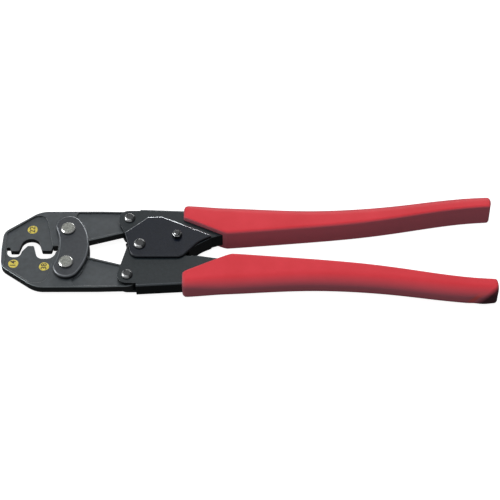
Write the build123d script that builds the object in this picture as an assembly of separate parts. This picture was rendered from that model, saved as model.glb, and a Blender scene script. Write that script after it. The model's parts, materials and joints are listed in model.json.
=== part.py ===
"""Two-hand crimping tool: toggle-lever jaws, link plates, channel handles, ratchet and grips.

The tool lies flat and closed. +X runs from the jaws to the handle ends, +Y across the tool towards
the upper handle, +Z up. The origin is the middle of the tool's bounding box, on the surface that it
lies on. Shapes are drawn about the tool's middle plane, then lifted by MIDDLE_HEIGHT on export.
"""
from build123d import *
from math import cos, radians, sin, tan
import os

# ---- overall ----
HALF_LENGTH = 173.2        # from the middle of the tool to either end
MIDDLE_HEIGHT = 10.0       # from the surface to the middle plane, half the thickness of a grip
RUNNING_GAP = 0.05         # radial clearance of a pin in a part that turns on it
FIT_GAP = 0.02             # clearance between pieces that are fixed together

# ---- pivots: x and distance from the long axis ----
JAW_PIN = (-126.7, 14.7)
TOGGLE_PIN = (-83.7, 24.8)
PIVOT = (-75.7, 0.0)
RATCHET_BOLT = (-49.5, 7.4)

# ---- jaws ----
JAW_HALF = 3.1             # half of the jaw's thickness
POCKET_HALF = 2.0          # half of the thickness left in a pocket
JAW_EDGE = 33.5            # distance of the straight outer edge from the long axis
ARM_EDGE = 32.8            # distance of the outer edge beside the toggle pin
PARTING = 0.05             # half of the gap between the closed jaws
LAND_END = -169.6          # where the front land stops and the dies start
DIE_END = -133.2           # where the dies stop and the rear land starts
RIM = 1.3                  # width of the raised rim round the arm's pocket
JAW_CHAMFER = 0.35

# ---- link plates and jaw pins ----
LINK_IN = 3.2
LINK_OUT = 6.7
LINK_ROUND = 1.5
JAW_PIN_R = 5.0
JAW_PIN_END = 8.8
JAW_PIN_CHAMFER = 0.8

# ---- handle channels ----
SHEET = 2.3
LOWER_CHEEK_IN = 3.4
LOWER_CHEEK_OUT = LOWER_CHEEK_IN + SHEET
UPPER_CHEEK_IN = 3.5
UPPER_CHEEK_OUT = UPPER_CHEEK_IN + SHEET
UPPER_WEB = (-76.4, 33.5)  # where the upper web begins: x and its outer face, from the long axis
LOWER_WEB = (-77.2, 34.4)  # the same for the lower web
CHEEK_EDGE = 31.7          # outer edge of the flat cheeks in front of the web
CHANNEL_END = 160.0
BEND_R = 1.6
UPPER_CLEAR_R = 12.0       # room round the pivot for the other handle's cheeks
PIVOT_EYE_R = 8.6          # lower handle's cheeks round the pivot
TOGGLE_EYE_R = 6.9
LOOP_CLEARANCE = 2.0       # extra radius of the lower handle's pivot hole

# ---- grips: (x, inner edge, outer edge), both edges measured from the long axis ----
GRIP_STATIONS = (
    (-46.0, 5.5, 36.0),
    (-9.0, 8.8, 34.7),
    (42.0, 13.4, 32.3),
    (80.0, 17.6, 33.8),
    (107.0, 22.0, 36.7),
    (136.0, 27.4, 40.9),
    (160.0, 30.7, 43.3),
    (HALF_LENGTH, 31.6, 43.8),
)
GRIP_OUTER_WALL = 4.3
GRIP_INNER_WALL = 2.0
GRIP_FRONT = -45.3
GRIP_FRONT_EDGE = 23.0     # where the slanted front starts, from the long axis
GRIP_SHOULDER = (-14.5, 8.0)
GRIP_END_ROUND = 2.6
GRIP_TRIM = 0.05           # cut off both sides of the lofted grip to make them true flats
GRIP_GAP = 0.05            # clearance between a grip and its channel
GRIP_FRONT_ROUND = 1.2

# ---- cover plates, pins and ratchet ----
COVER_IN = UPPER_CHEEK_OUT
COVER_OUT = COVER_IN + SHEET
COVER_ROUND = 1.4
PIVOT_PIN_R = 3.5
TOGGLE_PIN_R = 3.0
BOLT_R = 2.0
FRONT_DOME = 2.4
REAR_DOME = 1.7
HEAD_ROUND = 0.9           # a button head's rounding, as a share of its height
NUT_FLATS = 6.0
NUT_HEIGHT = 3.2
BOLT_TIP = 0.8             # thread that stands out of the nut
BOLT_HEAD_FLATS = 7.0
BOLT_HEAD_HEIGHT = 1.3
WASHER_THICKNESS = 0.5
BUSH_R = 3.2
PAWL_HALF = 2.9
SECTOR_HALF = 3.3
SECTOR_TIP_R = 15.3
SECTOR_ROOT_R = 13.6
SECTOR_HUB_R = 9.4
SECTOR_FIRST_TOOTH = 8     # degrees from +X, with the tool closed
SECTOR_TOOTH_PITCH = 8
SECTOR_TEETH = 13
SECTOR_RIVETS = ((8.2, -25), (8.2, -95))   # radius and direction from the pivot
SECTOR_RIVET_R = 1.2
PAWL_NOSE = 10.6           # from the bolt to the nose's tip
PAWL_TAIL = 8.6            # from the bolt to the tail's spring eye
SPRING_POST = (-22.0, 15.2)
SPRING_POST_R = 1.5
SPRING_COIL_R = 1.7
SPRING_WIRE_R = 0.35
SPRING_TURNS = 11


# ---- helpers ----

def outline(*corners):
    """Flat face whose corners are (x, y, radius), each rounded to its own radius."""
    bends = []
    for index, (x, y, radius) in enumerate(corners):
        here = Vector(x, y)
        back = (Vector(*corners[index - 1][:2]) - here).normalized()
        ahead = (Vector(*corners[(index + 1) % len(corners)][:2]) - here).normalized()
        half_turn = radians(back.get_angle(ahead)) / 2
        reach = radius / tan(half_turn)
        middle = here + (back + ahead).normalized() * (radius / sin(half_turn) - radius)
        bends.append((here + back * reach, middle, here + ahead * reach, radius))
    edges = []
    for index, (start, middle, end, radius) in enumerate(bends):
        if radius > 0:
            edges.append(Edge.make_three_point_arc(start, middle, end))
        next_start = bends[(index + 1) % len(bends)][0]
        if (next_start - end).length > 1e-6:
            edges.append(Edge.make_line(end, next_start))
    return Face(Wire(edges))


def disc(centre, radius):
    """Flat round face."""
    return Pos(*centre) * Circle(radius).face()


def slab(flat, low, high):
    """Solid of a flat shape between two heights; overlapping faces are joined into one solid."""
    blocks = [extrude(Pos(0, 0, low) * face, amount=high - low, dir=(0, 0, 1)) for face in flat.faces()]
    return sum(blocks[1:], blocks[0])


def cheeks(face, inner, outer):
    """Two plates of the same outline, one each side of the middle plane."""
    return slab(face, inner, outer) + slab(face, -outer, -inner)


def across(shape):
    """The same shape on the other side of the long axis."""
    return mirror(shape, about=Plane.XZ)


def edges_at(shape, height):
    """Edges that lie flat at a height."""
    return shape.edges().filter_by_position(Axis.Z, height - 0.001, height + 0.001)


def soften(shape, height, radius):
    """Round every edge that lies flat at a height."""
    return fillet(edges_at(shape, height), radius)


def button_head(centre, radius, base, height):
    """Low round head on the face at base; a negative height faces down."""
    head = slab(disc(centre, radius), min(base, base + height), max(base, base + height))
    return soften(head, base + height, abs(height) * HEAD_ROUND)


# ---- jaws ----

def jaw_blank():
    """Upper jaw before its dies are cut: nose, straight back and arm to the toggle pin."""
    blank = outline(
        (-HALF_LENGTH, PARTING, 0),
        (-172.6, 15.2, 9.0),
        (-147.5, JAW_EDGE, 18.0),
        (-104.0, JAW_EDGE, 60.0),
        (-75.9, ARM_EDGE, 8.4),
        (-75.9, 17.4, 8.4),
        (-111.2, 7.2, 8.0),
        (-127.5, PARTING, 3.0),
    )
    body = slab(blank, -JAW_HALF, JAW_HALF)
    rims = edges_at(body, JAW_HALF) + edges_at(body, -JAW_HALF)
    return chamfer(rims, JAW_CHAMFER)


def nose_pocket(shift):
    """Shallow recess round the dies; shift moves its rear edge along the tool."""
    return outline(
        (-170.3, -12.0, 0),
        (-170.3, 14.4, 2.5),
        (-150.9, 29.4, 4.0),
        (-143.0 + shift, 29.4, 6.0),
        (-138.4 + shift, 8.4, 3.0),
        (-136.0 + shift, -2.0, 0),
        (-136.0 + shift, -12.0, 0),
    )


def arm_pocket():
    """Shallow recess along the arm, inside its rim and clear of both pin bosses."""
    recess = outline(
        (-120.8, JAW_EDGE - RIM, 1.5),
        (-104.0, JAW_EDGE - RIM, 60.0),
        (-77.2, ARM_EDGE - RIM, 7.2),
        (-77.2, 18.5, 7.2),
        (-112.0, 8.5, 1.0),
        (-125.0, 20.0, 2.0),
    )
    return recess - disc(JAW_PIN, 12.5) - disc(TOGGLE_PIN, 6.2)


def cut_pockets(jaw, pockets):
    """Sink each pocket into both faces of a jaw."""
    for pocket in pockets:
        jaw = jaw - cheeks(pocket, POCKET_HALF, JAW_HALF + 1)
    return jaw


def die_block(jaw, profile, reach):
    """Add the die land up to reach, then cut it to the profile's open side."""
    low, high = sorted((reach, -4.0 if reach > 0 else 4.0))
    land = Pos((LAND_END + DIE_END) / 2, (low + high) / 2) * Rectangle(DIE_END - LAND_END, high - low)
    jaw = jaw + slab(land.face(), -POCKET_HALF, POCKET_HALF)
    return jaw - slab(outline(*profile), -JAW_HALF - 1, JAW_HALF + 1)


def upper_jaw():
    """Jaw with the small and large indenters and the middle nest."""
    jaw = cut_pockets(jaw_blank(), (nose_pocket(0.0), arm_pocket()))
    profile = (
        (LAND_END, -6.0, 0),
        (LAND_END, 2.0, 0.4),
        (-167.3, 2.0, 0.4),
        (-166.5, -1.2, 0.8),
        (-161.1, -1.2, 0.8),
        (-158.0, 9.5, 6.5),
        (-147.6, 9.5, 6.5),
        (-144.5, -0.9, 1.0),
        (-138.0, -0.9, 1.0),
        (-137.2, 2.6, 0.4),
        (DIE_END, 2.6, 0.4),
        (DIE_END, -6.0, 0),
    )
    jaw = die_block(jaw, profile, -1.2)
    holes = disc(JAW_PIN, JAW_PIN_R + RUNNING_GAP) + disc(TOGGLE_PIN, TOGGLE_PIN_R + RUNNING_GAP)
    return jaw - slab(holes, -JAW_HALF - 1, JAW_HALF + 1)


def lower_jaw():
    """Jaw with the small and large nests and the middle indenter."""
    jaw = across(cut_pockets(jaw_blank(), (nose_pocket(2.4), arm_pocket())))
    profile = (
        (LAND_END, 6.0, 0),
        (LAND_END, -0.6, 0.4),
        (-168.1, -6.5, 4.2),
        (-160.2, -6.5, 4.0),
        (-158.6, -1.2, 1.0),
        (-154.9, 3.4, 1.2),
        (-150.7, 3.4, 1.2),
        (-147.6, -7.9, 4.6),
        (-137.7, -7.9, 6.0),
        (DIE_END, -0.6, 0.4),
        (DIE_END, 6.0, 0),
    )
    jaw = die_block(jaw, profile, 3.4)
    jaw_hole = disc((JAW_PIN[0], -JAW_PIN[1]), JAW_PIN_R + RUNNING_GAP)
    toggle_hole = disc((TOGGLE_PIN[0], -TOGGLE_PIN[1]), TOGGLE_PIN_R + RUNNING_GAP)
    return jaw - slab(jaw_hole + toggle_hole, -JAW_HALF - 1, JAW_HALF + 1)


# ---- link plates and jaw pins ----

def link_plate():
    """Front kidney-shaped plate that holds both jaw pins."""
    lobe, crown = Vector(-135.7, 17.0), Vector(-119.0, 23.6)
    low_lobe, low_crown = Vector(lobe.X, -lobe.Y), Vector(crown.X, -crown.Y)
    edges = (
        Edge.make_three_point_arc(lobe, Vector(-128.0, 26.7), crown),
        Edge.make_three_point_arc(crown, Vector(-111.4, 0), low_crown),
        Edge.make_three_point_arc(low_crown, Vector(-128.0, -26.7), low_lobe),
        Edge.make_three_point_arc(low_lobe, Vector(-132.3, 0), lobe),
    )
    plate = soften(slab(Face(Wire(edges)), LINK_IN, LINK_OUT), LINK_OUT, LINK_ROUND)
    for side in (1, -1):
        hole = disc((JAW_PIN[0], side * JAW_PIN[1]), JAW_PIN_R + FIT_GAP)
        plate = plate - slab(hole, LINK_IN - 1, LINK_OUT + 1)
    return plate


def jaw_pin():
    """Headless steel pin through a jaw and both link plates."""
    pin = slab(disc(JAW_PIN, JAW_PIN_R), -JAW_PIN_END, JAW_PIN_END)
    return chamfer(edges_at(pin, JAW_PIN_END) + edges_at(pin, -JAW_PIN_END), JAW_PIN_CHAMFER)


# ---- handle channels ----

def channel_edge(inset, inner):
    """Spline edge of the channel inside the grip, moved inwards by inset from the grip's own edge."""
    points = []
    for x, inner_edge, outer_edge in GRIP_STATIONS[1:-1]:
        points.append(Vector(x, inner_edge + inset if inner else outer_edge - inset))
    return points


def channel_body(front, web, slack):
    """Flat outline of one channel, wider by slack; front is the run of corners that ends at the web."""
    outer = channel_edge(GRIP_OUTER_WALL - slack, False)
    inner = channel_edge(GRIP_INNER_WALL - slack, True)
    outer[-1] += Vector(slack, 0)
    inner[-1] += Vector(slack, 0)
    corners = [inner[0]] + [Vector(x, y - slack) for x, y in front]
    corners += [Vector(web[0], web[1] + slack), outer[0]]
    edges = [Edge.make_line(corners[i], corners[i + 1]) for i in range(len(corners) - 1)]
    edges.append(Edge.make_spline(outer))
    edges.append(Edge.make_line(outer[-1], inner[-1]))
    edges.append(Edge.make_spline(inner[::-1]))
    return Face(Wire(edges))


def channel_hollow(web, half_gap):
    """Space between the cheeks, open in front of the web and along the inner side."""
    outer = channel_edge(GRIP_OUTER_WALL + SHEET, False)
    corners = [outer[0], Vector(web[0], web[1] - SHEET), Vector(web[0], 45), Vector(-100, 45)]
    corners += [Vector(-100, -20), Vector(CHANNEL_END + 5, -20)]
    end = Vector(CHANNEL_END + 5, outer[-1].Y)
    corners.append(end)
    edges = [Edge.make_line(corners[i], corners[i + 1]) for i in range(len(corners) - 1)]
    edges += [Edge.make_line(end, outer[-1]), Edge.make_spline(outer[::-1])]
    return slab(Face(Wire(edges)), -half_gap, half_gap)


def upper_body(slack):
    """Upper channel's flat outline with the stretch behind the cover plates, without its eye."""
    corners = (
        (-18.7, 9.6), (-25.5, 7.2), (-36.5, 0.3), (-47.5, -7.4),
        (-57.0, -7.4), (-66.0, 6.0), (UPPER_WEB[0], 11.8),
    )
    return channel_body(corners, UPPER_WEB, slack)


def lower_body(slack):
    """Lower channel's flat outline, drawn above the axis, without its eyes."""
    corners = ((-20.0, 10.9), (-34.6, 8.5), (-63.0, 8.5), (LOWER_WEB[0], 8.0))
    return channel_body(corners, LOWER_WEB, slack)


def upper_planform():
    """Upper channel's whole outline with its toggle eye."""
    eye = outline(
        (UPPER_WEB[0] + 1, CHEEK_EDGE, 0),
        (-91.2, CHEEK_EDGE, 6.5),
        (-91.0, 20.5, 4.0),
        (-86.9, 12.3, 1.5),
        (UPPER_WEB[0] + 1, 11.6, 0),
    )
    return upper_body(0) + eye - disc(PIVOT, UPPER_CLEAR_R)


def lower_planform():
    """Lower channel's whole outline, drawn above the axis, with its toggle eye and pivot eye."""
    eyes = disc(TOGGLE_PIN, TOGGLE_EYE_R).edges() + disc(PIVOT, PIVOT_EYE_R).edges()
    shoulder = outline(
        (TOGGLE_PIN[0], TOGGLE_PIN[1], 0),
        (TOGGLE_PIN[0], CHEEK_EDGE, 0),
        (LOWER_WEB[0] + 1, CHEEK_EDGE, 0),
        (LOWER_WEB[0] + 1, TOGGLE_PIN[1], 0),
    )
    return lower_body(0) + make_hull(eyes) + shoulder - disc(PIVOT, PIVOT_PIN_R + LOOP_CLEARANCE)


def channel(planform, web, half_gap, half_width, holes):
    """Pressed channel: two cheeks joined by a web along the outer side."""
    frame = slab(planform, -half_width, half_width) - channel_hollow(web, half_gap)
    bends = [
        edge for height in (half_width, -half_width) for edge in edges_at(frame, height)
        if edge.length > 50 and edge.center().Y > 29
    ]
    frame = fillet(bends, BEND_R)
    for centre, radius in holes:
        frame = frame - slab(disc(centre, radius), -half_width - 1, half_width + 1)
    return frame


def upper_handle_frame():
    """Channel that carries the cover plates and the pawl, closed on its inner side behind the pawl."""
    holes = (
        (TOGGLE_PIN, TOGGLE_PIN_R + FIT_GAP),
        (RATCHET_BOLT, BOLT_R + FIT_GAP),
        (SPRING_POST, SPRING_POST_R + FIT_GAP),
    )
    frame = channel(upper_planform(), UPPER_WEB, UPPER_CHEEK_IN, UPPER_CHEEK_OUT, holes)
    wall = outline(
        (-41.0, -2.85, 0), (-36.5, 0.3, 0), (-25.5, 7.2, 0), (-18.7, 9.6, 0), (-9.0, 10.8, 0),
        (-9.0, 13.1, 0), (-19.2, 11.9, 0), (-26.5, 9.3, 0), (-37.8, 2.2, 0), (-42.3, -1.0, 0),
    )
    return frame + slab(wall, -UPPER_CHEEK_OUT, UPPER_CHEEK_OUT)


def sector_rivet_places():
    """Centres of the rivets that hold the ratchet sector, below the long axis."""
    places = []
    for radius, direction in SECTOR_RIVETS:
        turn = radians(direction)
        places.append((PIVOT[0] + radius * cos(turn), PIVOT[1] + radius * sin(turn)))
    return places


def lower_handle_frame():
    """Channel whose cheeks turn on the pivot pin between the cover plates."""
    holes = [(TOGGLE_PIN, TOGGLE_PIN_R + FIT_GAP)]
    for x, y in sector_rivet_places():
        holes.append(((x, -y), SECTOR_RIVET_R + FIT_GAP))
    return across(channel(lower_planform(), LOWER_WEB, LOWER_CHEEK_IN, LOWER_CHEEK_OUT, holes))


# ---- cover plates ----

def cover_plate():
    """Front teardrop plate over the pivot and the ratchet."""
    plate = slab(outline(
        (-86.8, 10.9, 1.0),
        (-70.6, 24.8, 3.5),
        (-60.4, 25.1, 4.0),
        (-24.4, 8.0, 0.9),
        (-34.4, 3.0, 25.0),
        (-46.3, -10.7, 7.0),
        (-81.6, -10.6, 6.5),
    ), COVER_IN, COVER_OUT)
    plate = soften(plate, COVER_OUT, COVER_ROUND)
    holes = disc(PIVOT, PIVOT_PIN_R + FIT_GAP) + disc(RATCHET_BOLT, BOLT_R + FIT_GAP)
    return plate - slab(holes, COVER_IN - 1, COVER_OUT + 1)


# ---- pins and fasteners ----

def headed_pin(centre, radius, face, head_radius):
    """Pin with a button head on each outer face."""
    shank = slab(disc(centre, radius), -face, face)
    front = button_head(centre, head_radius, face, FRONT_DOME)
    return shank + front + button_head(centre, head_radius, -face, -REAR_DOME)


def toggle_shims(cheek_face):
    """Pair of thin rings between the jaw's arm and the cheeks."""
    ring = disc(TOGGLE_PIN, 5.8) - disc(TOGGLE_PIN, TOGGLE_PIN_R + FIT_GAP)
    return cheeks(ring, JAW_HALF + RUNNING_GAP, cheek_face - FIT_GAP)


def hexagon(centre, flats):
    """Flat six-sided face of a width across flats."""
    return Pos(*centre) * RegularPolygon(flats / 2, 6, major_radius=False).face()


def ratchet_bolt():
    """Bolt through the covers, with its low head at the rear and its tip out of the nut."""
    under_head = -COVER_OUT - WASHER_THICKNESS
    shank = slab(disc(RATCHET_BOLT, BOLT_R), under_head, COVER_OUT + NUT_HEIGHT + BOLT_TIP)
    shank = chamfer(edges_at(shank, COVER_OUT + NUT_HEIGHT + BOLT_TIP), 0.4)
    head = slab(hexagon(RATCHET_BOLT, BOLT_HEAD_FLATS), under_head - BOLT_HEAD_HEIGHT, under_head)
    return shank + head


def ratchet_nut():
    """Hexagon nut on the front cover."""
    nut = slab(hexagon(RATCHET_BOLT, NUT_FLATS), COVER_OUT, COVER_OUT + NUT_HEIGHT)
    nut = chamfer(edges_at(nut, COVER_OUT + NUT_HEIGHT), 0.35)
    return nut - slab(disc(RATCHET_BOLT, BOLT_R + FIT_GAP), COVER_OUT - 1, COVER_OUT + NUT_HEIGHT + 1)


def bolt_washer():
    """Washer under the bolt's head."""
    ring = disc(RATCHET_BOLT, 4.2) - disc(RATCHET_BOLT, BOLT_R + FIT_GAP)
    return slab(ring, -COVER_OUT - WASHER_THICKNESS, -COVER_OUT)


def pawl_bush():
    """Sleeve on the bolt that keeps the cheeks apart and carries the pawl."""
    ring = disc(RATCHET_BOLT, BUSH_R) - disc(RATCHET_BOLT, BOLT_R + FIT_GAP)
    return slab(ring, -UPPER_CHEEK_IN + FIT_GAP, UPPER_CHEEK_IN - FIT_GAP)


def pawl_axes():
    """Unit vectors from the bolt towards the pivot and square to it."""
    bolt = Vector(*RATCHET_BOLT)
    towards = (Vector(*PIVOT) - bolt).normalized()
    return bolt, towards, Vector(-towards.Y, towards.X)


def ratchet_pawl():
    """Double-acting pawl: blunt nose towards the sector and a tail with a spring eye."""
    bolt, towards, square = pawl_axes()

    def corner(along, aside, radius):
        place = bolt + towards * along + square * aside
        return (place.X, place.Y, radius)

    nose = outline(
        corner(0, 4.6, 0), corner(5.0, 3.4, 1.0), corner(PAWL_NOSE, 0.9, 0.4),
        corner(PAWL_NOSE, -0.9, 0.4), corner(5.0, -3.4, 1.0), corner(0, -4.6, 0),
    )
    tail = outline(
        corner(0, 3.6, 0), corner(-PAWL_TAIL - 1.8, 1.8, 1.5),
        corner(-PAWL_TAIL - 1.8, -1.8, 1.5), corner(0, -3.6, 0),
    )
    eye = bolt - towards * PAWL_TAIL
    body = nose + tail + disc(RATCHET_BOLT, 5.4)
    return slab(
        body - disc(RATCHET_BOLT, BUSH_R + RUNNING_GAP) - disc((eye.X, eye.Y), 0.9), -PAWL_HALF, PAWL_HALF,
    )


def spring_post():
    """Flush pin between the cheeks that holds the spring's far end."""
    return slab(disc(SPRING_POST, SPRING_POST_R), -UPPER_CHEEK_OUT, UPPER_CHEEK_OUT)


def pawl_spring():
    """Close-wound tension spring from the pawl's tail towards the post."""
    bolt, towards, _ = pawl_axes()
    start = bolt - towards * (PAWL_TAIL + 2.4)
    post = Vector(*SPRING_POST)
    length = (post - start).length - SPRING_POST_R - 0.6
    coil = Helix(pitch=length / SPRING_TURNS, height=length, radius=SPRING_COIL_R)
    section = Plane(origin=coil @ 0, z_dir=coil % 0) * Circle(SPRING_WIRE_R)
    wire = sweep(section, path=coil)
    return Plane(origin=start, z_dir=(post - start).normalized(), x_dir=(0, 0, 1)) * wire


def ratchet_sector():
    """Toothed sector between the lower handle's cheeks, round the pivot."""
    hub = disc(PIVOT, SECTOR_HUB_R)
    last = SECTOR_FIRST_TOOTH + SECTOR_TOOTH_PITCH * SECTOR_TEETH

    def place(radius, direction):
        turn = radians(direction)
        return Vector(PIVOT[0] + radius * cos(turn), PIVOT[1] + radius * sin(turn))

    rim = []
    for tooth in range(SECTOR_TEETH):
        first = SECTOR_FIRST_TOOTH + SECTOR_TOOTH_PITCH * tooth
        rim += [place(SECTOR_ROOT_R, first), place(SECTOR_TIP_R, first + SECTOR_TOOTH_PITCH / 2)]
    rim.append(place(SECTOR_ROOT_R, last))
    rim += [place(5.0, last), place(5.0, SECTOR_FIRST_TOOTH)]
    wedge = Face(Wire.make_polygon(rim, close=True))
    plate = hub + wedge - disc(PIVOT, PIVOT_PIN_R + LOOP_CLEARANCE)
    for centre in sector_rivet_places():
        plate = plate - disc(centre, SECTOR_RIVET_R + FIT_GAP)
    return slab(plate, -SECTOR_HALF, SECTOR_HALF)


def sector_rivets():
    """Flush rivets through the lower handle's cheeks and the sector."""
    rivets = [
        slab(disc(centre, SECTOR_RIVET_R), -LOWER_CHEEK_OUT, LOWER_CHEEK_OUT)
        for centre in sector_rivet_places()
    ]
    return Compound(children=rivets)


# ---- grips ----

def grip_section(x, inner_edge, outer_edge):
    """Cross-section of a grip: nearly square inner side and fully rounded outer side."""
    width = outer_edge - inner_edge
    outer_round = min(9.0, 0.62 * width)
    inner_round = min(3.8, 0.24 * width)
    half = MIDDLE_HEIGHT + GRIP_TRIM
    section = outline(
        (inner_edge, -half, inner_round),
        (outer_edge, -half, outer_round),
        (outer_edge, half, outer_round),
        (inner_edge, half, inner_round),
    )
    return Plane(origin=(x, 0, 0), x_dir=(0, 1, 0), z_dir=(1, 0, 0)) * section


def grip(cavity, half_width):
    """Moulded sleeve round a cavity of the channel's outline, with a slanted front and a closed end."""
    body = loft([grip_section(*station) for station in GRIP_STATIONS])
    body = fillet(body.faces().sort_by(Axis.X)[-1].edges(), GRIP_END_ROUND)
    front = outline(
        (-60.0, 60.0, 0), (-60.0, -10.0, 0), (GRIP_SHOULDER[0], -10.0, 0),
        (GRIP_SHOULDER[0], GRIP_SHOULDER[1], 0), (GRIP_FRONT, GRIP_FRONT_EDGE, 2.0),
        (GRIP_FRONT, 60.0, 0),
    )
    body = body - slab(front, -MIDDLE_HEIGHT - 1, MIDDLE_HEIGHT + 1)
    cut = [
        face for face in body.faces()
        if face.geom_type != GeomType.BSPLINE and face.center().X < GRIP_SHOULDER[0]
    ]
    borders = [edge for face in cut for edge in face.edges()]
    rim = [edge for edge in borders if borders.count(edge) == 1]
    body = fillet(rim, GRIP_FRONT_ROUND)
    body = body & Box(3 * HALF_LENGTH, 3 * HALF_LENGTH, 2 * MIDDLE_HEIGHT)
    return body - slab(cavity, -half_width - GRIP_GAP, half_width + GRIP_GAP)


# ---- assembly ----

def rear(shape):
    """The same piece on the rear side of the middle plane."""
    return mirror(shape, about=Plane.XY)


def parts():
    """Every sub-part by node name, about the middle plane."""
    pivot_pin = headed_pin(PIVOT, PIVOT_PIN_R, COVER_OUT, 4.3)
    return {
        "upper_jaw": upper_jaw(),
        "lower_jaw": lower_jaw(),
        "front_link_plate": link_plate(),
        "rear_link_plate": rear(link_plate()),
        "upper_jaw_pin": jaw_pin(),
        "lower_jaw_pin": across(jaw_pin()),
        "upper_handle_frame": upper_handle_frame(),
        "lower_handle_frame": lower_handle_frame(),
        "front_cover_plate": cover_plate(),
        "rear_cover_plate": rear(cover_plate()),
        "handle_pivot_pin": pivot_pin,
        "upper_toggle_pin": headed_pin(TOGGLE_PIN, TOGGLE_PIN_R, UPPER_CHEEK_OUT, 4.0),
        "lower_toggle_pin": across(headed_pin(TOGGLE_PIN, TOGGLE_PIN_R, LOWER_CHEEK_OUT, 4.0)),
        "upper_toggle_shims": toggle_shims(UPPER_CHEEK_IN),
        "lower_toggle_shims": across(toggle_shims(LOWER_CHEEK_IN)),
        "ratchet_bolt": ratchet_bolt(),
        "ratchet_nut": ratchet_nut(),
        "bolt_washer": bolt_washer(),
        "pawl_bush": pawl_bush(),
        "ratchet_pawl": ratchet_pawl(),
        "pawl_spring": pawl_spring(),
        "spring_post": spring_post(),
        "ratchet_sector": ratchet_sector(),
        "sector_rivets": sector_rivets(),
        "upper_grip": grip(upper_body(GRIP_GAP), UPPER_CHEEK_OUT),
        "lower_grip": across(grip(lower_body(GRIP_GAP), LOWER_CHEEK_OUT)),
    }


os.makedirs("parts", exist_ok=True)
for node, shape in parts().items():
    export_step(Pos(0, 0, MIDDLE_HEIGHT) * shape, f"parts/{node}.step")
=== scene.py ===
"""Looks of the two-hand crimping tool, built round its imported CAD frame.

Lengths are in metres, apart from the measures of the grips and of the size marks, which are in millimetres.
"""
import bisect
import json
import math

import bmesh
import bpy
import numpy as np
from mathutils import Matrix, Vector


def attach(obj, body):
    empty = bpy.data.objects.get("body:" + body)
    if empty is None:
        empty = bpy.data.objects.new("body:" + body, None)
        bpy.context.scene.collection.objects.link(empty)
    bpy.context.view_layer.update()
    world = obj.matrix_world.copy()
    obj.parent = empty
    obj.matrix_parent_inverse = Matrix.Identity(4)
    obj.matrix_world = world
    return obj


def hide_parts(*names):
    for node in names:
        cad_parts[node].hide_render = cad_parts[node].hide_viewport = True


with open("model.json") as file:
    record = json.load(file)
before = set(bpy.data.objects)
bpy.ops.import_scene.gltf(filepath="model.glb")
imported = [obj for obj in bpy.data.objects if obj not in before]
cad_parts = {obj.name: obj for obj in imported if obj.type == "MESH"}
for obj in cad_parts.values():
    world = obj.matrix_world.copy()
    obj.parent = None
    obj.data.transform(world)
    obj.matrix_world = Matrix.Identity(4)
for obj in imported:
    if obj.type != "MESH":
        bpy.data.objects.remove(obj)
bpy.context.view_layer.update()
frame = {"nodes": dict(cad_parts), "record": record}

MM = 0.001

# ---- camera ----
AZIMUTH = math.radians(0.70)
ELEVATION = math.radians(52.76)
ROLL = math.radians(-0.71)
AIM = Vector((0.00166, 0.00076, 0.010))
DISTANCE = 1.3197
LENS = 134.9

# ---- grips, in millimetres: (x, inner edge, outer edge), both edges measured from the long axis ----
STATIONS = (
    (-46.0, 5.5, 36.0),
    (-9.0, 8.8, 34.7),
    (42.0, 13.4, 32.3),
    (80.0, 17.6, 33.8),
    (107.0, 22.0, 36.7),
    (136.0, 27.4, 40.9),
    (160.0, 30.7, 43.3),
    (173.2, 31.6, 43.8),
)
GRIP_HALF = 10.0           # half of the thickness
GRIP_MIDDLE = 10.0         # height of the middle over the floor
CROWN = 0.9                # how far the broad faces fall away towards the outer side
FRONT_X = -45.3
END_X = STATIONS[-1][0]
# The front face's slant: its start, as a distance from the axis, then (x, y) of its shoulder.
UPPER_SLANT = (23.0, -14.5, 8.0)
LOWER_SLANT = (24.9, -11.0, 8.6)
SHOULDER_SOFTNESS = 0.8
TURN_ROUND = 0.8           # rounding of the corner where the slant starts, seen from above
FRONT_CORNER = 2.6         # rounding of the blunt end's outer corner, seen from above
END_CORNER = (1.2, 2.0)    # roundings of the closed end's inner and outer corners
SLANT_ROUND = 1.3          # rounding of the front rim along the slant
SIDE_ROUND = 2.2           # rounding of the inner long edges
BACK_ROUND = (5.6, 8.2)    # rounding of the outer long edges at the blunt end and further on
BLUNT_ROUND = (4.5, 2.2)   # length and depth of the rounding across the blunt end
END_ROUND = 2.4            # rounding across the closed end
END_BULGE = 0.7            # how far the closed end bulges past its corners
HOLLOW_DEPTH = 0.3         # dents in the lower grip's worn end corner
CORNER_DEPTH = 1.2
CAVITY_END = 160.2
CAVITY_GAP = 0.1           # room round the channel
CHANNEL_INNER = 2.0        # from the grip's sides to the channel inside it
CHANNEL_OUTER = 4.3
CHANNEL_TURN = -9.0        # where the channel leaves the grip's curves
# Each channel: points of its inner edge before that turn, a point of its outer edge, and half its height.
UPPER_CHANNEL = (((-60.0, -9.0), (-36.5, 0.3), (-25.5, 7.2), (-18.7, 9.6), (-9.0, 10.8)), (-76.4, 33.5), 5.95)
LOWER_CHANNEL = (((-60.0, 8.5), (-34.6, 8.5), (-20.0, 10.9), (-9.0, 10.8)), (-77.2, 34.4), 5.85)
DARK_CORNER_DIRECTION = Vector((0.612, -0.629, -0.480))   # from the plain skin towards the darkened end corner
DARK_CORNER_START = 0.1198      # metres along that direction


# ---- small node helpers ----

def add(tree, kind, inputs=(), **settings):
    """New node with its settings and its sockets' values."""
    node = tree.nodes.new(kind)
    for key, value in settings.items():
        setattr(node, key, value)
    for key, value in dict(inputs).items():
        node.inputs[key].default_value = value
    return node


def join(tree, source, target):
    """Link two sockets."""
    tree.links.new(source, target)


def new_material(name):
    """Empty material with its Principled shader."""
    material = bpy.data.materials.new(name)
    material.use_nodes = True
    tree = material.node_tree
    return material, tree, tree.nodes["Principled BSDF"]


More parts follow.
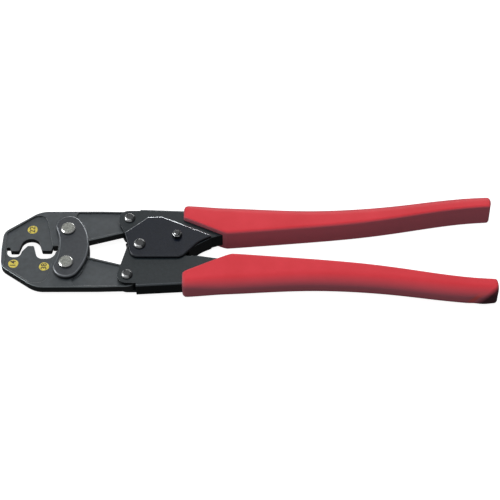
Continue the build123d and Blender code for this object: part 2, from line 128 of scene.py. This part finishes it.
def noise(tree, place, scale, detail=3.0, rough=0.55, distortion=0.0):
    """Noise value of a place in metres; scale is in cycles per metre."""
    node = add(tree, "ShaderNodeTexNoise", {
        "Scale": scale, "Detail": detail, "Roughness": rough, "Distortion": distortion,
    })
    join(tree, place, node.inputs["Vector"])
    return node.outputs["Fac"]


def remap(tree, value, low, high, to_low=0.0, to_high=1.0):
    """Clamped linear map of a value."""
    node = add(tree, "ShaderNodeMapRange", {
        "From Min": low, "From Max": high, "To Min": to_low, "To Max": to_high,
    })
    join(tree, value, node.inputs["Value"])
    return node.outputs["Result"]


def combine(tree, operation, first, second):
    """Math node of two values, each a socket or a number."""
    node = add(tree, "ShaderNodeMath", operation=operation)
    for slot, value in zip(node.inputs, (first, second)):
        if isinstance(value, (int, float)):
            slot.default_value = value
        else:
            join(tree, value, slot)
    return node.outputs["Value"]


def blend_colour(tree, factor, first, second):
    """Mix of two colours, each a socket or a tuple."""
    node = add(tree, "ShaderNodeMix", data_type="RGBA")
    join(tree, factor, node.inputs["Factor"])
    for slot, value in zip((node.inputs[6], node.inputs[7]), (first, second)):
        if isinstance(value, tuple):
            slot.default_value = (*value, 1.0)
        else:
            join(tree, value, slot)
    return node.outputs[2]


def object_place(tree):
    """Position on the object, in metres."""
    return add(tree, "ShaderNodeTexCoord").outputs["Object"]


def steepness(tree):
    """Upright share of the surface's direction: 1 on the tool's flat faces, 0 on its vertical sides."""
    direction = add(tree, "ShaderNodeSeparateXYZ")
    join(tree, add(tree, "ShaderNodeTexCoord").outputs["Normal"], direction.inputs["Vector"])
    return combine(tree, "ABSOLUTE", direction.outputs["Z"], 0.0)


def rounded_rims(tree, upright):
    """1 on the rounded and chamfered edges between flat faces and vertical sides."""
    above = remap(tree, upright, 0.15, 0.4)
    below = remap(tree, upright, 0.93, 0.995, 1.0, 0.0)
    return combine(tree, "MULTIPLY", above, below)


def towards(tree, normal, direction):
    """1 where a normal leans in a direction fixed on the object, almost nothing on the far side."""
    local = add(
        tree, "ShaderNodeVectorTransform",
        vector_type="NORMAL", convert_from="WORLD", convert_to="OBJECT")
    join(tree, normal, local.inputs["Vector"])
    lean = add(tree, "ShaderNodeVectorMath", operation="DOT_PRODUCT")
    join(tree, local.outputs["Vector"], lean.inputs[0])
    lean.inputs[1].default_value = direction
    return remap(tree, lean.outputs["Value"], 0.0, 0.25, 0.05, 1.0)


def edge_wear(tree, radius):
    """(0 on flats to 1 on outer edges, rounded normal)."""
    bevel = add(tree, "ShaderNodeBevel", {"Radius": radius}, samples=6)
    geometry = add(tree, "ShaderNodeNewGeometry")
    dot = add(tree, "ShaderNodeVectorMath", operation="DOT_PRODUCT")
    join(tree, bevel.outputs["Normal"], dot.inputs[0])
    join(tree, geometry.outputs["Normal"], dot.inputs[1])
    return combine(tree, "SUBTRACT", 1.0, dot.outputs["Value"]), bevel.outputs["Normal"]


# ---- materials ----

def steel(name, dark, light, worn, roughness, metallic=0.0, mottle=220.0, wear=0.6, edge=0.0004, bump=0.3,
          spread=0.12, relief=0.00004, painted_side_shade=0.45, rim=0.0, shine=0.5, painted_highlight_side=None):
    """Steel with mottled colour, fine texture, worn edges and rims, and painted shade that darkens its
    vertical sides.

    Given a side direction, the edge wear and rim polish are kept, as bright metal, to edges that face that
    way on the object: a painted highlight on that side.
    """
    material, tree, shader = new_material(name)
    place = object_place(tree)
    blotches = noise(tree, place, mottle, 5.0, 0.62)
    grain = noise(tree, place, mottle * 9, 3.0, 0.6)
    faces = blend_colour(tree, remap(tree, blotches, 0.33, 0.68), dark, light)
    # Vertical sides get a darker copy of the face colour: painted shade.
    painted_shade_colour = tuple(value * painted_side_shade for value in dark)
    upright = steepness(tree)
    body = blend_colour(tree, remap(tree, upright, 0.3, 0.8), painted_shade_colour, faces)
    edges, normal = edge_wear(tree, edge)
    patchy = remap(tree, grain, 0.3, 0.65, 0.35, 1.0)
    scuff = combine(tree, "MULTIPLY", remap(tree, edges, 0.006, 0.10, 0.0, wear), patchy)
    rims = rounded_rims(tree, upright)
    rim_wear = remap(tree, grain, 0.3, 0.6, rim * 0.6, rim)
    polish = combine(tree, "MULTIPLY", rims, rim_wear)
    wear_and_painted_highlight = combine(tree, "MAXIMUM", scuff, polish)
    # A side direction keeps the wear and rim polish to one side only, as a painted highlight.
    if painted_highlight_side:
        wear_and_painted_highlight = combine(tree, "MULTIPLY", wear_and_painted_highlight, towards(tree, normal, painted_highlight_side))
        polish = wear_and_painted_highlight
    join(tree, blend_colour(tree, wear_and_painted_highlight, body, worn), shader.inputs["Base Color"])
    shader.inputs["Specular IOR Level"].default_value = shine
    shade = remap(tree, grain, 0.3, 0.7, roughness - spread, roughness + spread)
    join(tree, shade, shader.inputs["Roughness"])
    join(tree, combine(tree, "MAXIMUM", polish, metallic), shader.inputs["Metallic"])
    coarse = combine(tree, "MULTIPLY", blotches, 0.6)
    fine = combine(tree, "MULTIPLY", grain, 0.4)
    height = combine(tree, "ADD", coarse, fine)
    relief_node = add(tree, "ShaderNodeBump", {"Strength": bump, "Distance": relief})
    join(tree, height, relief_node.inputs["Height"])
    join(tree, normal, relief_node.inputs["Normal"])
    join(tree, relief_node.outputs["Normal"], shader.inputs["Normal"])
    return material


def turned_steel(name):
    """Bright pin steel, dull and mottled, with lighter, smoother chamfers."""
    material, tree, shader = new_material(name)
    place = object_place(tree)
    blotches = noise(tree, place, 750.0, 4.0, 0.6)
    grain = noise(tree, place, 4000.0, 2.0, 0.6)
    tone = remap(tree, blotches, 0.34, 0.66)
    top = blend_colour(tree, tone, (0.12, 0.124, 0.112), (0.25, 0.26, 0.24))
    chamfer = rounded_rims(tree, steepness(tree))
    join(tree, blend_colour(tree, chamfer, top, (0.80, 0.81, 0.79)), shader.inputs["Base Color"])
    shader.inputs["Metallic"].default_value = 1.0
    dull = remap(tree, grain, 0.3, 0.7, 0.34, 0.5)
    polish = combine(tree, "MULTIPLY", chamfer, 0.16)
    join(tree, combine(tree, "SUBTRACT", dull, polish), shader.inputs["Roughness"])
    edges, normal = edge_wear(tree, 0.0002)
    relief = add(tree, "ShaderNodeBump", {"Strength": 0.35, "Distance": 0.00005})
    join(tree, blotches, relief.inputs["Height"])
    join(tree, normal, relief.inputs["Normal"])
    join(tree, relief.outputs["Normal"], shader.inputs["Normal"])
    return material


def vinyl(name, dark_corner=False):
    """Moulded red vinyl, slightly clouded, with a fine skin and a painted sheen that makes its sides paler
    and greyer; with its corner flag set, it darkens the outer corner of the lower grip's end nearly to black,
    with a painted highlight band before it.
    """
    material, tree, shader = new_material(name)
    place = object_place(tree)
    clouds = noise(tree, place, 38.0, 4.0, 0.55)
    skin = noise(tree, place, 2400.0, 2.0, 0.5)
    colour = blend_colour(tree, remap(tree, clouds, 0.3, 0.7), (0.79, 0.049, 0.065), (0.87, 0.061, 0.081))
    # Sides and shoulders painted paler and greyer: a painted sheen.
    painted_side_sheen = remap(tree, steepness(tree), 0.1, 0.94, 0.92, 0.0)
    colour = blend_colour(tree, painted_side_sheen, colour, (0.67, 0.185, 0.235))
    if dark_corner:
        depth = dark_corner_depth(tree, place, clouds)
        # A paler orange-red band on the sides just before the corner: a painted highlight.
        painted_highlight_start = remap(tree, depth, -0.0042, -0.0026)
        painted_highlight_end = remap(tree, depth, -0.0016, 0.0, 1.0, 0.0)
        scuff = combine(tree, "MULTIPLY", painted_highlight_start, painted_highlight_end)
        scuff = combine(tree, "MULTIPLY", scuff, remap(tree, steepness(tree), 0.2, 0.7, 0.8, 0.0))
        colour = blend_colour(tree, scuff, colour, (0.95, 0.13, 0.12))
        # Past the plane the corner is darkened nearly to black.
        colour = blend_colour(tree, remap(tree, depth, 0.0, 0.0032, 0.0, 0.92), colour, (0.030, 0.012, 0.018))
    join(tree, colour, shader.inputs["Base Color"])
    join(tree, remap(tree, skin, 0.3, 0.7, 0.50, 0.60), shader.inputs["Roughness"])
    shader.inputs["Specular IOR Level"].default_value = 0.08
    shader.inputs["Sheen Weight"].default_value = 0.22
    shader.inputs["Sheen Roughness"].default_value = 0.4
    shader.inputs["Sheen Tint"].default_value = (1.0, 0.86, 0.90, 1.0)
    relief = add(tree, "ShaderNodeBump", {"Strength": 0.10, "Distance": 0.00003})
    join(tree, skin, relief.inputs["Height"])
    join(tree, relief.outputs["Normal"], shader.inputs["Normal"])
    return material


def dark_corner_depth(tree, place, clouds):
    """Distance beyond the slanting plane that cuts off the darkened outer corner of the lower grip's end."""
    along = add(tree, "ShaderNodeVectorMath", operation="DOT_PRODUCT")
    along.inputs[1].default_value = DARK_CORNER_DIRECTION
    join(tree, place, along.inputs[0])
    wander = remap(tree, clouds, 0.3, 0.7, -0.0008 - DARK_CORNER_START, 0.0008 - DARK_CORNER_START)
    return combine(tree, "ADD", along.outputs["Value"], wander)


def paint(name, thick, thin):
    """Hand-dabbed paint: thin where the metal shows through."""
    material, tree, shader = new_material(name)
    place = object_place(tree)
    cover = remap(tree, noise(tree, place, 900.0, 4.0, 0.6), 0.30, 0.62)
    join(tree, blend_colour(tree, cover, thin, thick), shader.inputs["Base Color"])
    shader.inputs["Roughness"].default_value = 0.5
    relief = add(tree, "ShaderNodeBump", {"Strength": 0.4, "Distance": 0.00005})
    join(tree, cover, relief.inputs["Height"])
    join(tree, relief.outputs["Normal"], shader.inputs["Normal"])
    return material


MATERIALS = {
    "black_jaw_steel": steel(
        "black_jaw_steel", (0.024, 0.032, 0.038), (0.040, 0.052, 0.061), (0.26, 0.29, 0.30), 0.40,
        rim=0.7),
    "black_sheet_steel": steel(
        "black_sheet_steel", (0.006, 0.012, 0.015), (0.010, 0.018, 0.023), (0.30, 0.33, 0.36), 0.30,
        mottle=320.0, bump=0.12, spread=0.05, edge=0.0003, rim=0.3, shine=0.30),
    # Pin heads: wear and rim polish kept to their -X -Y side, a painted glint there.
    "black_pin_steel": steel(
        "black_pin_steel", (0.010, 0.012, 0.014), (0.018, 0.021, 0.024), (0.75, 0.77, 0.78), 0.14,
        mottle=700.0, bump=0.1, spread=0.03, wear=0.1, edge=0.0002, painted_side_shade=0.8, rim=0.65, shine=0.4,
        painted_highlight_side=(-0.84, -0.54, 0.0)),
    "bright_pin_steel": turned_steel("bright_pin_steel"),
    "ratchet_steel": steel(
        "ratchet_steel", (0.20, 0.20, 0.205), (0.30, 0.30, 0.305), (0.5, 0.5, 0.5), 0.35, metallic=1.0,
        mottle=600.0),
    "spring_steel": steel(
        "spring_steel", (0.42, 0.42, 0.43), (0.55, 0.55, 0.56), (0.7, 0.7, 0.7), 0.3, metallic=1.0,
        mottle=900.0),
    "red_grip_vinyl": vinyl("red_grip_vinyl"),
    "size_paint": paint("size_paint", (0.90, 0.74, 0.075), (0.55, 0.43, 0.045)),
}
# Lower grip's vinyl: end corner darkened nearly to black, with a painted highlight band before it.
DARK_CORNER_VINYL = vinyl("red_vinyl_dark_corner", dark_corner=True)
DIGIT_PAINT = paint("digit_paint", (0.028, 0.018, 0.002), (0.12, 0.09, 0.014))
# Cover plates: edge wear, with the bright rim kept to the rims facing +Y as a painted highlight along that
# rim.
SHEET_WEAR_AND_PAINTED_HIGHLIGHT = steel(
    "sheet_steel_wear_and_painted_highlight", (0.003, 0.006, 0.013), (0.005, 0.009, 0.019), (0.80, 0.84, 0.88), 0.26,
    mottle=320.0, bump=0.12, spread=0.05, edge=0.0009, wear=0.95, rim=0.9, shine=0.22,
    painted_highlight_side=(0.3, 0.95, 0.0))
LINK_STEEL = steel(
    "link_steel", (0.009, 0.014, 0.021), (0.019, 0.026, 0.036), (0.42, 0.45, 0.48), 0.36,
    mottle=420.0, bump=0.3, spread=0.08, edge=0.0002, rim=0.4)
OWN_FINISH = {
    "front_cover_plate": SHEET_WEAR_AND_PAINTED_HIGHLIGHT,
    "rear_cover_plate": SHEET_WEAR_AND_PAINTED_HIGHLIGHT,
    "front_link_plate": LINK_STEEL,
    "rear_link_plate": LINK_STEEL,
}


def dress_cad():
    """Give every CAD node the material of its slot."""
    for part in frame["record"]["subparts"]:
        node = frame["nodes"][part["node"]]
        material = OWN_FINISH.get(part["node"], MATERIALS[part["material_slot"]])
        if not node.data.materials:
            node.data.materials.append(material)
        for slot in node.material_slots:
            slot.material = material


# ---- grips ----

def smooth_curve(xs, ys):
    """Natural cubic spline through points, as a function of x."""
    count = len(xs)
    steps = np.diff(xs)
    rows = np.eye(count)
    target = np.zeros(count)
    for i in range(1, count - 1):
        rows[i, i - 1:i + 2] = steps[i - 1], 2 * (steps[i - 1] + steps[i]), steps[i]
        target[i] = 6 * ((ys[i + 1] - ys[i]) / steps[i] - (ys[i] - ys[i - 1]) / steps[i - 1])
    bend = np.linalg.solve(rows, target)

    def at(x):
        i = min(max(bisect.bisect(xs, x) - 1, 0), count - 2)
        step, before, after = steps[i], x - xs[i], xs[i + 1] - x
        value = (bend[i] * after ** 3 + bend[i + 1] * before ** 3) / (6 * step)
        value += (ys[i] / step - bend[i] * step / 6) * after
        return value + (ys[i + 1] / step - bend[i + 1] * step / 6) * before

    return at


STATION_X = [station[0] for station in STATIONS]
inner_edge = smooth_curve(STATION_X, [station[1] for station in STATIONS])
outer_edge = smooth_curve(STATION_X, [station[2] for station in STATIONS])


def ease(value, start, end):
    """Smooth step from 0 at start to 1 at end."""
    share = min(max((value - start) / (end - start), 0.0), 1.0)
    return share * share * (3 - 2 * share)


def fall(depth, radius):
    """Drop of a quarter-round edge at a depth behind the edge; nothing beyond its radius."""
    if depth >= radius:
        return 0.0
    return radius - math.sqrt(max(radius ** 2 - (radius - max(depth, 0.0)) ** 2, 0.0))


def low_edge(x, front):
    """Inner edge of the grip seen from above, with its slanted front, shoulder and rounded ends."""
    turn, shoulder_x, shoulder_y = front
    slope = (turn - shoulder_y) / (shoulder_x - FRONT_X)
    slant = shoulder_y + slope * (shoulder_x - x)
    inner = inner_edge(x)
    gap = slant - inner
    edge = inner + (gap + math.sqrt(gap ** 2 + SHOULDER_SOFTNESS ** 2)) / 2
    return edge + fall(x - FRONT_X, TURN_ROUND) + fall(END_X - x, END_CORNER[0])


def high_edge(x):
    """Outer edge of the grip seen from above, with its rounded front and end corners."""
    return outer_edge(x) - fall(x - FRONT_X, FRONT_CORNER) - fall(END_X - x, END_CORNER[1])


def edge_rounds(x, front):
    """Roundings of the inner and the outer long edges at x."""
    width = outer_edge(x) - inner_edge(x)
    side = min(SIDE_ROUND, 0.13 * width)
    low_round = SLANT_ROUND + (side - SLANT_ROUND) * ease(x, front[1] - 7, front[1] + 3)
    back = BACK_ROUND[0] + (BACK_ROUND[1] - BACK_ROUND[0]) * ease(x, FRONT_X, FRONT_X + 30)
    return low_round, min(back, 0.62 * width)


def half_height(x, y, front):
    """Half of the grip's thickness at a place seen from above."""
    low, high = low_edge(x, front), high_edge(x)
    low_round, high_round = edge_rounds(x, front)
    height = GRIP_HALF - CROWN * max((y - low) / (high - low), 0.0) ** 2
    drops = (
        fall(y - low, low_round), fall(high - y, high_round),
        fall(x - FRONT_X, BLUNT_ROUND[0]) * BLUNT_ROUND[1] / BLUNT_ROUND[0], fall(END_X - x, END_ROUND),
    )
    for drop in drops:
        height *= 1 - drop / GRIP_HALF
    return height


def rounded_steps(start, reach, count):
    """Places that crowd towards start, as the points of a quarter circle do."""
    return [start + reach * (1 - math.cos(math.pi / 2 * i / count)) for i in range(count + 1)]


def even_steps(start, end, count):
    """Places strictly between start and end."""
    return [start + (end - start) * i / count for i in range(1, count)]


def across_grip(x, front):
    """Distances from the axis at which one section of the grip has its points."""
    low, high = low_edge(x, front), high_edge(x)
    low_round, high_round = edge_rounds(x, front)
    scale = min(1.0, 0.94 * (high - low) / (low_round + high_round))
    near = rounded_steps(low, low_round * scale, 8)
    far = rounded_steps(high, -high_round * scale, 14)[::-1]
    return near + even_steps(near[-1], far[0], 6) + far


def along_grip():
    """Positions of the grip's sections along the tool: closest at its ends, then over its front."""
    front = rounded_steps(FRONT_X, BLUNT_ROUND[0], 12)
    end = rounded_steps(END_X, -END_ROUND, 10)[::-1]
    middle = 0.0
    return front + even_steps(front[-1], middle, 56) + [middle] + even_steps(middle, end[0], 90) + end


def dent(x, y, z):
    """How far the worn outer corner of the lower grip's end is pressed in."""
    outer_side = ease(y, outer_edge(x) - 7, outer_edge(x) - 2) * ease(-z, -6, 0)
    hollow = HOLLOW_DEPTH * ease(x, 152, 157) * (1 - ease(x, 158, 161))
    return outer_side * (hollow + CORNER_DEPTH * ease(x, 163, END_X))


def grip_rings(front, worn):
    """Sections of the grip's outer skin: along the top from the inner side, then back along the bottom."""
    rings = []
    for x in along_grip():
        top = []
        for y in across_grip(x, front):
            low, high = low_edge(x, front), high_edge(x)
            aside = (2 * y - low - high) / (high - low)
            place = x - END_BULGE * aside ** 2 * ease(x, END_X - 9, END_X)
            top.append(Vector((place, y, half_height(x, y, front))))
        ring = top + [Vector((p.x, p.y, -p.z)) for p in reversed(top)]
        if worn:
            ring = [Vector((p.x, p.y - dent(p.x, p.y, p.z), p.z)) for p in ring]
        rings.append(ring)
    return rings


def cavity_rings(mouth, outer_line, half):
    """Sections of the hollow that the channel fills; mouth holds its inner edge before the grip's curves."""
    xs = [x for x, _ in mouth] + even_steps(CHANNEL_TURN, CAVITY_END, 60) + [CAVITY_END]
    turn_high = outer_edge(CHANNEL_TURN) - CHANNEL_OUTER
    rings = []
    for x in xs:
        if x < CHANNEL_TURN:
            low = dict(mouth)[x]
            widening = (outer_line[1] - turn_high) * (x - CHANNEL_TURN)
            high = turn_high + widening / (outer_line[0] - CHANNEL_TURN)
        else:
            low, high = inner_edge(x) + CHANNEL_INNER, outer_edge(x) - CHANNEL_OUTER
        low, high = low - CAVITY_GAP, high + CAVITY_GAP
        rings.append([Vector((x, y, z)) for y, z in ((low, half), (high, half), (high, -half), (low, -half))])
    return rings


def closed_mesh(name, rings):
    """Closed mesh of rings of points in millimetres; each end is closed by strips across its ring."""
    mesh = bmesh.new()
    rows = [[mesh.verts.new(point * MM) for point in ring] for ring in rings]
    count = len(rings[0])
    for one, other in zip(rows, rows[1:]):
        for i in range(count):
            j = (i + 1) % count
            mesh.faces.new((one[i], one[j], other[j], other[i]))
    for row in (rows[0], rows[-1]):
        for i in range(count // 2 - 1):
            mesh.faces.new((row[i], row[i + 1], row[-i - 2], row[-i - 1]))
    bmesh.ops.recalc_face_normals(mesh, faces=mesh.faces)
    data = bpy.data.meshes.new(name)
    mesh.to_mesh(data)
    mesh.free()
    piece = bpy.data.objects.new(name, data)
    bpy.context.scene.collection.objects.link(piece)
    return piece


def shade(data, corner):
    """Smooth shading with sharp edges where the surface turns by more than corner degrees."""
    mesh = bmesh.new()
    mesh.from_mesh(data)
    for face in mesh.faces:
        face.smooth = True
    for edge in mesh.edges:
        edge.smooth = len(edge.link_faces) == 2 and edge.calc_face_angle(0.0) < math.radians(corner)
    mesh.to_mesh(data)
    mesh.free()


def hollow_out(piece, cutter):
    """Cut a closed mesh out of another and drop the cutter."""
    cut = piece.modifiers.new("hollow", "BOOLEAN")
    cut.operation = "DIFFERENCE"
    cut.solver = "EXACT"
    cut.object = cutter
    bpy.context.view_layer.update()
    final = bpy.data.meshes.new_from_object(piece.evaluated_get(bpy.context.evaluated_depsgraph_get()))
    piece.modifiers.clear()
    piece.data = final
    bpy.data.objects.remove(cutter)


def add_grip(name, side, front, channel, body, node, worn):
    """Moulded grip on one handle; side is 1 for the upper one and -1 for the lower, whose end is worn."""
    def placed(rings):
        return [[Vector((p.x, side * p.y, p.z + GRIP_MIDDLE)) for p in ring] for ring in rings]

    grip = closed_mesh(name, placed(grip_rings(front, worn)))
    hollow_out(grip, closed_mesh(name + "_hollow", placed(cavity_rings(*channel))))
    shade(grip.data, 35)
    grip.data.materials.clear()
    grip.data.materials.append(DARK_CORNER_VINYL if worn else MATERIALS["red_grip_vinyl"])
    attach(grip, body)
    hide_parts(node)


# ---- painted size marks, in millimetres ----
POCKET_TOP = 12.0          # height of the jaws' recessed face
MARK_RADIUS = 3.55
MARK_STEPS = 48
# The dab's outline as (radius, height over the face), from its underside to the middle of its top.
MARK_OUTLINE = (
    (0.1, 0.02), (MARK_RADIUS, 0.02), (MARK_RADIUS - 0.05, 0.07), (MARK_RADIUS - 0.35, 0.1), (0.1, 0.11),
)
DIGIT_SIZE = 5.6
DIGIT_HALF = 0.02          # half of the digits' thickness
DIGIT_SWELL = 0.09         # how far the digits' strokes are fattened
DIGIT_LIFT = 0.17          # height of the digits over the face
SIZE_MARKS = (
    ("size_mark_22", "22", (-152.5, 17.8), "upper_jaw"),
    ("size_mark_14", "14", (-164.0, -12.3), "lower_jaw"),
    ("size_mark_38", "38", (-142.3, -14.8), "lower_jaw"),
)


def add_mark(name, digits, centre, body):
    """Dab of yellow paint with its die size in dark digits."""
    rings = []
    for radius, height in MARK_OUTLINE:
        ring = []
        for step in range(MARK_STEPS):
            angle = 2 * math.pi * step / MARK_STEPS
            wobble = 1 + 0.02 * math.sin(3 * angle + centre[0]) + 0.012 * math.sin(5 * angle + centre[1])
            ring.append(Vector((
                centre[0] + radius * wobble * math.cos(angle),
                centre[1] + radius * wobble * math.sin(angle),
                POCKET_TOP + height,
            )))
        rings.append(ring)
    dab = closed_mesh(name, rings)
    shade(dab.data, 60)
    dab.data.materials.append(MATERIALS["size_paint"])
    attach(dab, body)
    text = bpy.data.curves.new(name + "_digits", "FONT")
    text.body = digits
    text.size = DIGIT_SIZE * MM
    text.align_x = "CENTER"
    text.align_y = "CENTER"
    text.extrude = DIGIT_HALF * MM
    text.offset = DIGIT_SWELL * MM
    shape = bpy.data.objects.new(name + "_digits", text)
    bpy.context.scene.collection.objects.link(shape)
    shape.matrix_world = (
        Matrix.Translation(Vector((centre[0], centre[1], POCKET_TOP + DIGIT_LIFT)) * MM)
        @ Matrix.Rotation(math.radians(90), 4, "Z")
    )
    text.materials.append(DIGIT_PAINT)
    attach(shape, body)


# ---- studio ----
FLOOR_RADIUS = 2.2         # of its flat part
FLOOR_BEND = 0.8           # radius of the bend up to the backdrop
BACKDROP_TOP = 2.4
FLOOR_RINGS = (0.5, 1.0, FLOOR_RADIUS)
BEND_STEPS = 8
FLOOR_SIDES = 64


def add_camera():
    """Camera at the viewing angle of the picture."""
    back = Vector((
        math.sin(AZIMUTH) * math.cos(ELEVATION),
        -math.cos(AZIMUTH) * math.cos(ELEVATION),
        math.sin(ELEVATION),
    ))
    level = Vector((math.cos(AZIMUTH), math.sin(AZIMUTH), 0))
    rise = back.cross(level)
    right = level * math.cos(ROLL) + rise * math.sin(ROLL)
    up = rise * math.cos(ROLL) - level * math.sin(ROLL)
    pose = Matrix((right, up, back)).transposed().to_4x4()
    pose.translation = AIM + back * DISTANCE
    lens = bpy.data.cameras.new("camera")
    lens.lens = LENS
    lens.sensor_width = 36.0
    lens.clip_start = 0.01
    lens.clip_end = 50.0
    camera = bpy.data.objects.new("camera", lens)
    camera.matrix_world = pose
    bpy.context.scene.collection.objects.link(camera)
    bpy.context.scene.camera = camera


def add_softbox(name, place, size, watts, diffuse=True, glossy=True):
    """Soft light facing the tool; diffuse=False leaves only its reflections, glossy=False only its light."""
    light = bpy.data.lights.new(name, "AREA")
    light.shape = "RECTANGLE"
    light.size, light.size_y = size
    light.energy = watts
    lamp = bpy.data.objects.new(name, light)
    lamp.location = place
    lamp.rotation_euler = (-Vector(place)).to_track_quat("-Z", "Y").to_euler()
    lamp.visible_diffuse = diffuse
    lamp.visible_glossy = glossy
    bpy.context.scene.collection.objects.link(lamp)


def add_world():
    """Dim sky that brightens overhead."""
    world = bpy.data.worlds.new("studio")
    bpy.context.scene.world = world
    world.use_nodes = True
    tree = world.node_tree
    direction = add(tree, "ShaderNodeSeparateXYZ")
    join(tree, add(tree, "ShaderNodeTexCoord").outputs["Generated"], direction.inputs["Vector"])
    level = remap(tree, direction.outputs["Z"], -0.3, 1.0, 0.07, 0.35)
    background = tree.nodes["Background"]
    background.inputs["Color"].default_value = (1.0, 1.0, 1.0, 1.0)
    join(tree, level, background.inputs["Strength"])


def add_floor():
    """Plain white floor that rises into a backdrop far away from the object.

    It shines by itself, and the tool neither reflects it nor is lit by it.
    """
    mesh = bmesh.new()
    profile = [(radius, 0.0) for radius in FLOOR_RINGS]
    for step in range(1, BEND_STEPS + 1):
        angle = math.pi / 2 * step / BEND_STEPS
        reach, dip = FLOOR_BEND * math.sin(angle), FLOOR_BEND * math.cos(angle)
        profile.append((FLOOR_RADIUS + reach, FLOOR_BEND - dip))
    profile.append((FLOOR_RADIUS + FLOOR_BEND, BACKDROP_TOP))
    middle = mesh.verts.new((0, 0, 0))
    turns = [2 * math.pi * i / FLOOR_SIDES for i in range(FLOOR_SIDES)]
    rows = []
    for radius, height in profile:
        places = [(radius * math.cos(turn), radius * math.sin(turn), height) for turn in turns]
        rows.append([mesh.verts.new(place) for place in places])
    for i in range(FLOOR_SIDES):
        j = (i + 1) % FLOOR_SIDES
        mesh.faces.new((middle, rows[0][i], rows[0][j]))
        for one, other in zip(rows, rows[1:]):
            mesh.faces.new((one[i], other[i], other[j], one[j]))
    for face in mesh.faces:
        face.smooth = True
    data = bpy.data.meshes.new("studio_floor")
    mesh.to_mesh(data)
    mesh.free()
    floor = bpy.data.objects.new("studio_floor", data)
    bpy.context.scene.collection.objects.link(floor)
    material, _, shader = new_material("studio_floor")
    shader.inputs["Base Color"].default_value = (0.5, 0.5, 0.5, 1)
    shader.inputs["Roughness"].default_value = 1.0
    shader.inputs["Specular IOR Level"].default_value = 0.0
    shader.inputs["Emission Color"].default_value = (1, 1, 1, 1)
    shader.inputs["Emission Strength"].default_value = 0.94
    data.materials.append(material)
    floor.visible_diffuse = False
    floor.visible_glossy = False
    floor.visible_shadow = False


dress_cad()
add_grip("upper_grip_skin", 1, UPPER_SLANT, UPPER_CHANNEL, "upper_handle", "upper_grip", False)
add_grip("lower_grip_skin", -1, LOWER_SLANT, LOWER_CHANNEL, "lower_handle", "lower_grip", True)
for mark in SIZE_MARKS:
    add_mark(*mark)

add_world()
add_floor()
add_softbox("overhead_softbox", (-0.3, 0.35, 1.65), (2.4, 1.4), 15.4)
add_softbox("overhead_fill", (-0.4, 0.1, 1.65), (1.6, 0.8), 4.2, glossy=False)
add_softbox("left_softbox", (-1.3, 0.03, 0.62), (1.1, 0.5), 20.0, diffuse=False)
add_softbox("back_softbox", (0.3, 1.7, 0.5), (1.6, 0.5), 30.0, diffuse=False)
add_camera()

bpy.context.scene.view_settings.view_transform = "Standard"
